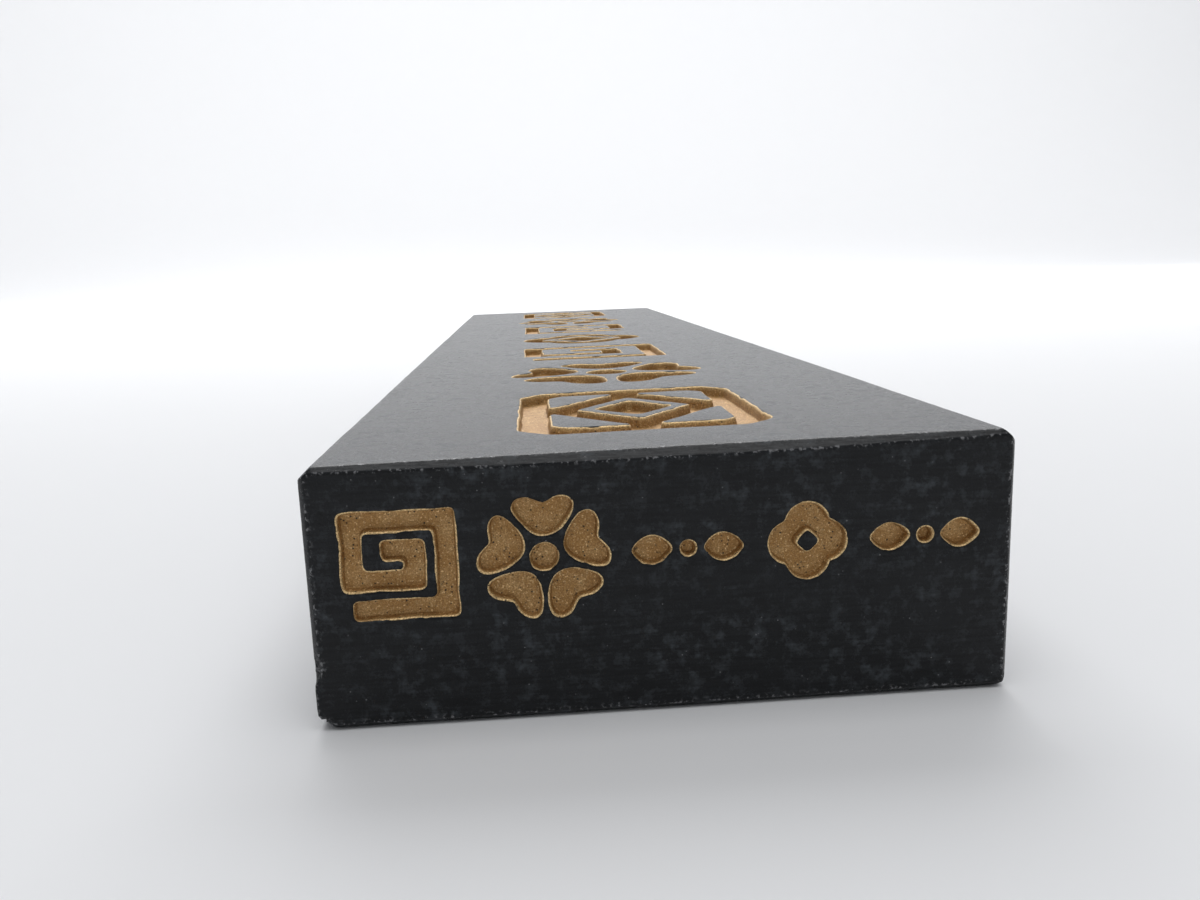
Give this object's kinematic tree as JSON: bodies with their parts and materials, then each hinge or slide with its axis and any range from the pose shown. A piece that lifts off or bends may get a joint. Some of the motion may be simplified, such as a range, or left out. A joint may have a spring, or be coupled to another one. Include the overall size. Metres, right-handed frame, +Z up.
{
  "type": "ink stick",
  "caption": "Pressed block of soot and glue for grinding into writing ink, with ornaments sunk in its head and upper face and filled with gold paint.",
  "frame": {"origin": "middle of the underside's bounding rectangle, on the surface the stick lies on", "axes": "+Y along the stick from its ornamented head to its plain foot, +Z up out of the ornamented upper face, +X to the right as one looks at the head"},
  "size_m": [0.024, 0.1, 0.0093],
  "materials": {
    "pressed_ink": "satin, faintly bloomed",
    "gold_paint": "brushed-on metallic paint, dull"
  },
  "bodies": {
    "root": {"gilt_head_blossom_heart": "gold_paint", "gilt_head_blossom_petal_1": "gold_paint", "gilt_head_blossom_petal_2": "gold_paint", "gilt_head_blossom_petal_3": "gold_paint", "gilt_head_blossom_petal_4": "gold_paint", "gilt_head_blossom_petal_5": "gold_paint", "gilt_head_fret": "gold_paint", "gilt_head_quatrefoil": "gold_paint", "gilt_head_sprig_1_berry": "gold_paint", "gilt_head_sprig_1_left_leaf": "gold_paint", "gilt_head_sprig_1_right_leaf": "gold_paint", "gilt_head_sprig_2_berry": "gold_paint", "gilt_head_sprig_2_left_leaf": "gold_paint", "gilt_head_sprig_2_right_leaf": "gold_paint", "gilt_upper_1_lattice_boss": "gold_paint", "gilt_upper_1_lattice_frame": "gold_paint", "gilt_upper_2_blossom_heart": "gold_paint", "gilt_upper_2_blossom_petal_1": "gold_paint", "gilt_upper_2_blossom_petal_2": "gold_paint", "gilt_upper_2_blossom_petal_3": "gold_paint", "gilt_upper_2_blossom_petal_4": "gold_paint", "gilt_upper_2_blossom_petal_5": "gold_paint", "gilt_upper_3_fret": "gold_paint", "gilt_upper_4_quatrefoil_boss": "gold_paint", "gilt_upper_4_quatrefoil_foil": "gold_paint", "gilt_upper_5_fret": "gold_paint", "gilt_upper_6_blossom_heart": "gold_paint", "gilt_upper_6_blossom_petal_1": "gold_paint", "gilt_upper_6_blossom_petal_2": "gold_paint", "gilt_upper_6_blossom_petal_3": "gold_paint", "gilt_upper_6_blossom_petal_4": "gold_paint", "gilt_upper_6_blossom_petal_5": "gold_paint", "gilt_upper_7_lattice_boss": "gold_paint", "gilt_upper_7_lattice_frame": "gold_paint", "ink_block": "pressed_ink"}
  },
  "joints": []
}
